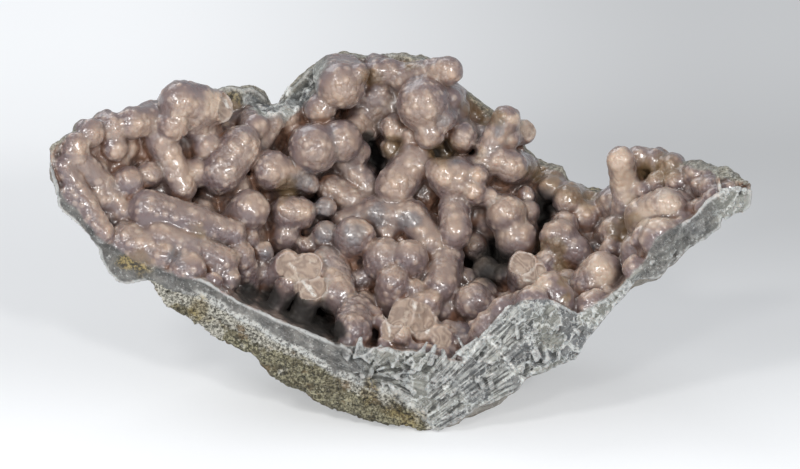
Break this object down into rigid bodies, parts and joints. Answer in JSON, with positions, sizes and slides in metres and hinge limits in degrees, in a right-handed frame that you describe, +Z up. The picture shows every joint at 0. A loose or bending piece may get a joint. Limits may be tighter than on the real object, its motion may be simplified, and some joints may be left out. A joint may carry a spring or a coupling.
{
  "type": "chalcedony specimen",
  "caption": "Boat-shaped fragment of botryoidal chalcedony crust, lined with mauve stalactitic fingers, with a rind of host rock under its left edge.",
  "frame": {"origin": "bottom centre of the specimen's bounding box, on the plane of its foot", "axes": "+X along the specimen's length, towards the right wing as seen from the open side; +Z up as it rests; -Y towards the open, broken front rim"},
  "size_m": [0.1394, 0.0635, 0.0624],
  "materials": {
    "chalcedony": "waxy",
    "host_rock": "rough"
  },
  "bodies": {
    "root": {"chalcedony": "chalcedony", "host_rock": "host_rock"}
  },
  "joints": []
}
